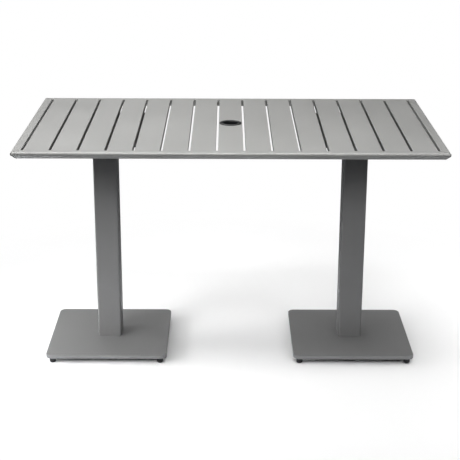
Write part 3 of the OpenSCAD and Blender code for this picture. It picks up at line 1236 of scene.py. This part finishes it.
@dataclass
class Fasteners:
    """The screws of the table, each with its head, hexagon socket and thread.

    A button head's profile holds shares of the head's radius and height, from its seat to its socket. The
    button_key and sunk_key say how many key widths the thread is wide. A socket's depth is a share of the
    button head's height or of the countersunk screw's thread, its rim a share of the key, and its tip a
    share of the depth.
    """

    trees: Trees
    finishes: Finishes
    rows_per_turn: int = 8
    columns: int = 33
    steps: int = 48
    thread_depth: float = 0.54
    shank: float = 0.9
    button_pitch: float = 1.0 * MM
    button_profile: tuple[Point, ...] = (
        (0.96, 0.0),
        (1.0, 0.25),
        (0.97, 0.45),
        (0.86, 0.72),
        (0.72, 0.9),
        (0.58, 0.985),
    )
    button_key: float = 1.5
    button_depth: float = 0.62
    button_rim: float = 0.64
    button_mouth: float = 0.1 * MM
    button_tip: float = 1.2
    sunk_pitch: float = 1.25 * MM
    sunk_key: float = 1.6
    sunk_depth: float = 0.5
    sunk_rim: float = 0.62
    sunk_mouth: float = 0.12 * MM
    sunk_tip: float = 1.15
    sunk_overlap: float = 0.2 * MM
    sunk_land: float = 0.5 * MM
    sunk_edge: float = 0.15 * MM
    drill_tip: float = 0.1 * MM

    def rod(self, diameter: float, pitch: float, length: float) -> Piece:
        """A threaded rod that stands on z = 0.

        Args:
            diameter: The width over its thread.
            pitch: The thread's pitch.
            length: The rod's length.

        Returns:
            The rod.
        """
        piece = new_piece("rod", bpy.data.meshes.new("rod"))
        sizes = {"Diameter": diameter, "Pitch": pitch, "Length": length, "Depth": self.thread_depth * pitch}
        rows = round(length / pitch * self.rows_per_turn)
        self.trees.thread.make(piece, self.finishes.zinc, **sizes, Rows=rows, Columns=self.columns)
        tidy_mesh(piece)
        return piece

    def socket(self, key: float, mouth: float, floor: float, tip: float) -> list[Ring]:
        """Rings of a hexagon socket for a key, from its mouth to the tip of its drilled floor."""
        walls = [turned_ring(0, z, self.steps, key) for z in (mouth, floor)]
        return walls + [turned_ring(self.drill_tip, tip, self.steps)]

    def button_screw(self, diameter: float, length: float, head: float, height: float) -> Piece:
        """A button-head screw whose head hangs below z = 0 and whose thread goes up.

        Args:
            diameter: The width over its thread.
            length: The length of its thread.
            head: The head's width.
            height: The head's height.

        Returns:
            The screw.
        """
        key, depth = diameter / self.button_key, height * self.button_depth
        profile = [(diameter / 2 * self.shank, 0.0)]
        profile += [(head / 2 * r, -height * z) for r, z in self.button_profile]
        profile += [(key * self.button_rim, -height)]
        rings = [turned_ring(r, z, self.steps) for r, z in profile]
        mouth, tip = -height + self.button_mouth, -height + depth * self.button_tip
        rings += self.socket(key, mouth, -height + depth, tip)
        piece = loft("button_screw", rings)
        combine(piece, self.rod(diameter, self.button_pitch, length), "UNION")
        return piece

    def countersunk_screw(self, diameter: float, length: float, head: float) -> Piece:
        """A countersunk screw that stands head down on z = 0.

        Args:
            diameter: The width over its thread.
            length: The screw's whole length.
            head: The head's width.

        Returns:
            The screw.
        """
        key, depth = diameter / self.sunk_key, diameter * self.sunk_depth
        cone = (head - diameter) / 2
        profile = [(diameter / 2 * self.shank, cone), (head / 2, self.sunk_land), (head / 2, self.sunk_edge)]
        profile += [(head / 2 - self.sunk_edge, 0.0), (key * self.sunk_rim, 0.0)]
        rings = [turned_ring(r, z, self.steps) for r, z in profile]
        rings += self.socket(key, self.sunk_mouth, depth, depth * self.sunk_tip)
        piece = loft("countersunk_screw", rings)
        rod = self.rod(diameter, self.sunk_pitch, length - cone)
        move(rod, Matrix.Translation((0, 0, cone - self.sunk_overlap)))
        combine(piece, rod, "UNION")
        return piece

    def scatter(self, name: str, fastener: Piece, places: Sequence[Vector], seed: int, node: str) -> None:
        """Sets copies of a fastener in place and lets them stand for one CAD node.

        Args:
            name: The piece's name.
            fastener: The fastener, which is then discarded.
            places: Where the copies stand.
            seed: The seed of their turns.
            node: The CAD node.
        """
        piece = path_piece(name, [[p] for p in places])
        self.trees.scatter.make(piece, self.finishes.zinc, Fastener=fastener, Seed=seed)
        discard(fastener)
        finish_piece(piece, self.finishes.zinc, nodes=[node])


@dataclass
class Pedestal:
    """One leg of the table: mounting plate, square column, base plate and their screws."""

    side: Side
    trees: Trees
    finishes: Finishes
    plate_corner: float = 12 * MM
    plate_edge: float = 0.5 * MM
    column_corner: float = 6 * MM
    column_wall: float = 3 * MM
    base_corner: float = 20 * MM
    base_edge: float = 1.2 * MM
    edge_step_deg: int = 15
    plate_steps: int = 12
    column_steps: int = 10
    bore_steps: int = 6
    weld_steps: int = 8
    screw_width: float = 6 * MM
    screw_length: float = 16 * MM
    base_screw_width: float = 8 * MM
    base_screw_length: float = 20 * MM
    base_screw_head: float = 16 * MM
    sink_steps: int = 48
    hole_gap: float = 0.5 * MM
    stud_gap: float = 0.05 * MM
    stud_end_gap: float = 0.5 * MM
    foot_gap: float = 0.3 * MM
    bead: Bead = Bead(2.6 * MM, 2.8 * MM, 0.1)
    screw_head: ClassVar[float] = 11 * MM
    bead_seeds: ClassVar[dict[Side, float]] = {Side.LEFT: 11.0, Side.RIGHT: 23.0}
    screw_seeds: ClassVar[dict[Side, int]] = {Side.LEFT: 1, Side.RIGHT: 2}
    base_screw_seeds: ClassVar[dict[Side, int]] = {Side.LEFT: 5, Side.RIGHT: 6}

    @staticmethod
    def screw_places(side: Side) -> list[Vector]:
        """Where the six mounting screws of a side stand, at the mounting plate's lower face.

        Args:
            side: The pedestal.

        Returns:
            The six places.
        """
        plate = Box.of(f"{side.value}_mounting_plate")
        group = Box.of(f"{side.value}_mounting_screws")
        half = Pedestal.screw_head / 2
        xs = [group.low.x + half, group.centre.x, group.high.x - half]
        ys = [group.low.y + half, group.high.y - half]
        return [Vector((x, y, plate.low.z)) for x in xs for y in ys]

    def node(self, part: str) -> str:
        """The CAD node's name of a part of this pedestal."""
        return f"{self.side.value}_{part}"

    def soft_plate(self, node: str, corner: float, edge: float) -> Piece:
        """A plate with round corners and rounded edges that fills a CAD node's box.

        Args:
            node: The CAD node.
            corner: The radius of its corners.
            edge: The radius of its upper and lower edges.

        Returns:
            The plate.
        """
        box = Box.of(node)
        levels = [(turn, box.low.z + edge) for turn in range(-90, 1, self.edge_step_deg)]
        levels += [(turn, box.high.z - edge) for turn in range(0, 91, self.edge_step_deg)]
        rings = []
        for turn, level in levels:
            inset = edge * (1 - math.cos(math.radians(turn)))
            width, depth = box.size.x - 2 * inset, box.size.y - 2 * inset
            outline = round_rect(width, depth, corner - inset, self.plate_steps)
            rings.append(at_height(outline, level + edge * math.sin(math.radians(turn))))
        piece = loft(f"{node}_coated", rings)
        move(piece, Matrix.Translation((box.centre.x, box.centre.y, 0)))
        return piece

    def mounting_plate(self) -> None:
        """The plate under the slats, with its six clearance holes."""
        node = self.node("mounting_plate")
        piece = self.soft_plate(node, self.plate_corner, self.plate_edge)
        places = [p - Vector((0, 0, CLEAR)) for p in self.screw_places(self.side)]
        radius = self.screw_width / 2 + self.hole_gap
        profile = [(radius, 0.0), (radius, Box.of(node).size.z + 2 * CLEAR)]
        combine(piece, turned_cutters("holes", places, profile), "DIFFERENCE")
        finish_piece(piece, self.finishes.plate, nodes=[node])

    def column(self) -> None:
        """The square tube and the bead that welds it to the mounting plate."""
        node = self.node("column")
        box = Box.of(node)
        width, bore = box.size.x, box.size.x - 2 * self.column_wall
        outlines = [
            round_rect(width, width, self.column_corner, self.column_steps),
            round_rect(bore, bore, self.column_corner - self.column_wall, self.bore_steps),
        ]
        piece = path_piece(f"{node}_coated", [at_height(outline, 0.0) for outline in outlines], closed=True)
        length = box.size.z - self.foot_gap
        self.trees.extrusion.make(piece, self.finishes.base, Length=length, Width=width, Mitre=0.0)
        move(piece, Matrix.Translation((box.centre.x, box.centre.y, box.low.z + self.foot_gap)))
        finish_piece(piece, self.finishes.base, nodes=[node])
        rim = at_height(round_rect(width, width, self.column_corner, self.weld_steps), box.high.z)
        seed, shift = self.bead_seeds[self.side], Vector((box.centre.x, box.centre.y, 0))
        name, finish = self.node("column_weld"), self.finishes.base
        self.bead.lay(self.trees.bead, name, [rim], finish, Slot.BASE, seed, closed=True, shift=shift)

    def base_screw_places(self) -> list[Vector]:
        """Where the four base screws stand, at the base plate's lower face.

        Returns:
            The four places.
        """
        group = Box.of(self.node("base_screws"))
        half = self.base_screw_head / 2
        xs = (group.low.x + half, group.high.x - half)
        ys = (group.low.y + half, group.high.y - half)
        return [Vector((x, y, group.low.z)) for x in xs for y in ys]

    def base_plate(self) -> None:
        """The base plate, with its countersunk holes and the blind holes for the glides."""
        node = self.node("base_plate")
        box = Box.of(node)
        piece = self.soft_plate(node, self.base_corner, self.base_edge)
        head = self.base_screw_head / 2 + self.hole_gap
        shank = self.base_screw_width / 2 + self.hole_gap
        sink = [(head, -CLEAR), (head, 0.0), (shank, head - shank), (shank, box.size.z + CLEAR)]
        cutters = [turned_cutters("sinks", self.base_screw_places(), sink, self.sink_steps)]
        studs = [Box.of(self.node(f"stud_{corner.value}")) for corner in Corner]
        radius = self.base_screw_width / 2 + self.stud_gap
        for stud in studs:
            blind = [(radius, 0.0), (radius, stud.high.z - box.low.z + self.stud_end_gap + CLEAR)]
            place = Vector((stud.centre.x, stud.centre.y, box.low.z - CLEAR))
            cutters.append(turned_cutters("hole", [place], blind))
        combine(piece, join("cutters", cutters), "DIFFERENCE")
        finish_piece(piece, self.finishes.base, nodes=[node])

    def screws(self, fasteners: Fasteners) -> None:
        """The mounting screws and the base screws.

        Args:
            fasteners: What makes screws.
        """
        node = self.node("mounting_screws")
        height = Box.of(self.node("mounting_plate")).low.z - Box.of(node).low.z
        screw = fasteners.button_screw(self.screw_width, self.screw_length, self.screw_head, height)
        seed, places = self.screw_seeds[self.side], self.screw_places(self.side)
        fasteners.scatter(self.node("button_screws"), screw, places, seed, node)
        node = self.node("base_screws")
        width, length = self.base_screw_width, self.base_screw_length
        screw = fasteners.countersunk_screw(width, length, self.base_screw_head)
        seed, places = self.base_screw_seeds[self.side], self.base_screw_places()
        fasteners.scatter(self.node("countersunk_screws"), screw, places, seed, node)

    def dress_hidden(self) -> None:
        """Gives the parts whose shape stays as it is their finish."""
        for part, material in (("rivet_nuts", self.finishes.zinc), ("column_foot", self.finishes.bare)):
            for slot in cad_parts[self.node(part)].material_slots:
                slot.material = material

    def build(self, fasteners: Fasteners) -> None:
        """Makes all the pedestal's pieces.

        Args:
            fasteners: What makes screws.
        """
        self.mounting_plate()
        self.column()
        self.base_plate()
        self.screws(fasteners)
        self.dress_hidden()


@dataclass
class Glide:
    """A levelling glide: a moulded pad on the ball end of a threaded stud."""

    side: Side
    corner: Corner
    fasteners: Fasteners
    finishes: Finishes
    chamfer: float = 2.5 * MM
    edge: float = 0.5 * MM
    edge_bend: float = 0.3
    collar: float = 2 * MM
    ball: float = 10 * MM
    key_hole: float = 5.6 * MM
    key_hole_edge: float = 0.2 * MM
    key: float = 4 * MM
    key_corners: float = 0.62
    socket_depth: float = 4 * MM
    socket_tip: float = 0.6 * MM
    socket_edge: float = 0.1 * MM
    thread: float = 8 * MM
    thread_core: float = 0.84
    thread_pitch: float = 1.25 * MM
    neck_length: float = 0.4 * MM
    gap: float = 0.05 * MM
    edge_steps: int = 4
    ball_steps: int = 14
    steps: int = 48

    def node(self, part: str) -> str:
        """The CAD node's name of this glide's pad or stud."""
        return f"{self.side.value}_{part}_{self.corner.value}"

    def pad(self) -> None:
        """The pad, with the socket for the ball and the hole for the key."""
        node = self.node("pad")
        box = Box.of(node)
        radius, height = box.size.x / 2, box.size.z
        ball_z = height - self.collar - self.ball / 2
        reach = self.ball / 2 + self.gap
        neck = self.thread / 2 + self.gap
        key = self.key_hole / 2
        low = math.degrees(math.acos(key / reach))
        high = math.degrees(math.acos(neck / reach))
        bend = self.edge * self.edge_bend
        outline = [(key, self.key_hole_edge), (key + self.key_hole_edge, 0.0)]
        outline += [(radius - self.chamfer - self.edge, 0.0), (radius - self.chamfer, bend)]
        outline += [(radius - bend, self.chamfer), (radius, self.chamfer + self.edge)]
        outline += arc((radius - self.edge, height - self.edge), self.edge, 0, 90, self.edge_steps)
        outline += [(neck, height)]
        outline += arc((0.0, ball_z), reach, high, -low, self.ball_steps)
        piece = loft(f"{node}_moulded", spun(outline, around(self.steps)), hollow=True)
        move(piece, Matrix.Translation((box.centre.x, box.centre.y, box.low.z)))
        finish_piece(piece, self.finishes.glide, body=node, nodes=[node])

    def stud(self) -> None:
        """The stud: a ball with a hexagon socket below, and an M8 thread above."""
        node = self.node("stud")
        box = Box.of(node)
        radius = self.ball / 2
        bottom = Box.of(self.node("pad")).size.z - self.collar - self.ball
        socket_top = bottom + self.socket_depth
        ball_z = bottom + radius
        neck = self.thread / 2 * self.thread_core
        flat = math.degrees(math.acos(self.key * self.key_corners / radius))
        top = math.degrees(math.acos(neck / radius))
        mouth = ball_z - radius * math.sin(math.radians(flat)) + self.socket_edge
        neck_top = ball_z + radius * math.sin(math.radians(top))
        socket = self.fasteners.socket(self.key, mouth, socket_top, socket_top + self.socket_tip)
        profile = arc((0.0, ball_z), radius, -flat, top, self.ball_steps)
        profile += [(neck, neck_top + self.neck_length)]
        rings = socket[::-1] + [turned_ring(r, z, self.steps) for r, z in profile]
        piece = loft(f"{node}_threaded", rings)
        rod = self.fasteners.rod(self.thread, self.thread_pitch, box.high.z - neck_top)
        move(rod, Matrix.Translation((0, 0, neck_top)))
        combine(piece, rod, "UNION")
        move(piece, Matrix.Translation((box.centre.x, box.centre.y, 0)))
        finish_piece(piece, self.finishes.zinc, body=node, nodes=[node])

    def build(self) -> None:
        """Makes the pad and the stud."""
        self.pad()
        self.stud()


@dataclass
class PhotoCamera:
    """The camera at the place that the table's own edges in the photograph give."""

    place: tuple[float, float, float] = (-0.0115, -3.6984, 1.6555)
    yaw: float = 0.0030
    pitch: float = 0.3298
    roll: float = 0.0039
    focal_px: float = 1204.1
    frame_px: float = 460.0
    sensor_mm: float = 36.0
    view_end: float = 100.0

    def build(self) -> None:
        """Makes the camera and hands it to the scene."""
        level_reach = math.cos(self.pitch)
        x, y = math.sin(self.yaw) * level_reach, math.cos(self.yaw) * level_reach
        forward = Vector((x, y, -math.sin(self.pitch)))
        level = forward.cross(Vector((0, 0, 1))).normalized()
        upright = level.cross(forward)
        right = level * math.cos(self.roll) + upright * math.sin(self.roll)
        up = upright * math.cos(self.roll) - level * math.sin(self.roll)
        data = bpy.data.cameras.new("photo_camera")
        data.sensor_width = self.sensor_mm
        data.lens = self.sensor_mm * self.focal_px / self.frame_px
        data.clip_end = self.view_end
        camera = bpy.data.objects.new("photo_camera", data)
        turn = Matrix((right, up, -forward)).transposed().to_4x4()
        camera.matrix_world = Matrix.Translation(self.place) @ turn
        bpy.context.scene.collection.objects.link(camera)
        bpy.context.scene.camera = camera


@dataclass(frozen=True)
class Softbox:
    """One soft studio light, aimed at a point."""

    name: str
    place: tuple[float, float, float]
    aim: tuple[float, float, float]
    width: float
    height: float
    watts: float
    spread_deg: float = 180.0

    def build(self) -> None:
        """Makes the light, which a grid of that spread narrows, and which no view shows."""
        data = bpy.data.lights.new(self.name, "AREA")
        data.shape = "RECTANGLE"
        data.size, data.size_y = self.width, self.height
        data.energy = self.watts
        data.spread = math.radians(self.spread_deg)
        light = bpy.data.objects.new(self.name, data)
        light.visible_camera = False
        light.location = self.place
        light.rotation_mode = "QUATERNION"
        light.rotation_quaternion = (Vector(self.aim) - Vector(self.place)).to_track_quat("-Z", "Y")
        bpy.context.scene.collection.objects.link(light)


# Each light is named for where it hangs, or for the stretch of floor that it keeps white.
SOFTBOXES = (
    Softbox("over_front", (0.0, -0.9, 3.0), (0.0, -0.2, 0.0), 2.2, 0.8, 6.7, 60.0),
    Softbox("over_left", (-1.2, 0.2, 3.0), (-0.6, 0.0, 0.0), 1.4, 1.4, 7.3, 90.0),
    Softbox("over_back", (0.0, 1.5, 2.8), (0.0, 1.0, 0.0), 3.0, 1.4, 34.7),
    Softbox("side_left", (-3.5, 0.5, 2.2), (-0.4, 0.0, 0.3), 1.6, 1.6, 12.5),
    Softbox("side_right", (3.5, 0.5, 2.2), (0.4, 0.0, 0.3), 1.6, 1.6, 8.1),
    Softbox("front_left", (-2.2, -2.2, 2.0), (-0.4, -0.1, 0.1), 1.2, 1.0, 2.6, 50.0),
    Softbox("front_right", (2.2, -2.2, 2.0), (0.4, -0.1, 0.1), 1.2, 1.0, 2.1, 50.0),
    Softbox("front", (0.0, -3.0, 2.2), (0.0, -0.1, 0.1), 2.0, 1.0, 2.4, 50.0),
    Softbox("low_side", (-1.7, -0.1, 0.55), (-0.5, 0.0, 0.03), 0.6, 0.3, 1.0, 50.0),
    Softbox("low_corner", (-1.5, -0.9, 0.6), (-0.5, -0.05, 0.03), 0.6, 0.3, 1.3, 50.0),
    Softbox("floor_front", (0.0, -1.1, 1.2), (0.0, -1.1, 0.0), 3.6, 0.4, 2.0, 90.0),
    Softbox("floor_right", (1.6, 0.2, 1.2), (1.6, 0.2, 0.0), 0.8, 2.0, 6.3, 100.0),
    Softbox("floor_middle", (0.0, 2.8, 1.8), (0.0, 2.8, 0.0), 8.0, 1.8, 46.5, 110.0),
    Softbox("floor_late", (0.0, 4.8, 2.0), (0.0, 4.8, 0.0), 9.0, 2.0, 38.2, 110.0),
    Softbox("floor_far", (0.0, 7.9, 2.2), (0.0, 7.9, 0.0), 10.5, 4.8, 149.5, 120.0),
    Softbox("far_left", (-3.0, 6.0, 4.0), (-3.0, 6.0, 0.0), 5.0, 5.0, 79.3),
)


@dataclass
class Studio:
    """A plain pale floor, soft light and a white surround."""

    floor_size: float = 60.0
    floor_paint: PaleFloor = PaleFloor("pale_floor", "#FAFAFA", 0.9)
    surround: float = 0.02
    backdrop: float = 1.0

    def floor(self) -> None:
        """The floor that the glides stand on."""
        half = self.floor_size / 2
        mesh = bpy.data.meshes.new("floor")
        corners = [(-half, -half, 0), (half, -half, 0), (half, half, 0), (-half, half, 0)]
        mesh.from_pydata(corners, [], [(0, 1, 2, 3)])
        mesh.materials.append(self.floor_paint.material())
        new_piece("floor", mesh)

    def world(self) -> None:
        """The surround, which is seen as a white backdrop and gives little light."""
        world = bpy.data.worlds.new("surround")
        world.use_nodes = True
        tree = world.node_tree
        seen = add_node(tree, "ShaderNodeLightPath").outputs["Is Camera Ray"]
        inputs = {"To Min": self.surround, "To Max": self.backdrop, "Value": seen}
        glow = add_node(tree, "ShaderNodeMapRange", inputs).outputs[0]
        ground = tree.nodes["Background"]
        ground.inputs["Color"].default_value = linear("#FFFFFF")
        tree.links.new(glow, ground.inputs["Strength"])
        bpy.context.scene.world = world

    def build(self) -> None:
        """Makes the floor, the surround and the lights."""
        self.floor()
        self.world()
        for light in SOFTBOXES:
            light.build()
        bpy.context.scene.view_settings.view_transform = "Standard"


def main() -> None:
    """Builds the studio and every part of the table."""
    logging.basicConfig(level=logging.INFO, format="%(name)s: %(message)s")
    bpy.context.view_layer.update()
    PhotoCamera().build()
    Studio().build()
    finishes, trees = Finishes(), Trees()
    fasteners = Fasteners(trees, finishes)
    TopFrame(trees, finishes).build()
    SlatDeck(trees, finishes).build()
    UmbrellaRing(finishes).build()
    for side in Side:
        Pedestal(side, trees, finishes).build(fasteners)
        for corner in Corner:
            Glide(side, corner, fasteners, finishes).build()


if __name__ == "__main__":
    main()
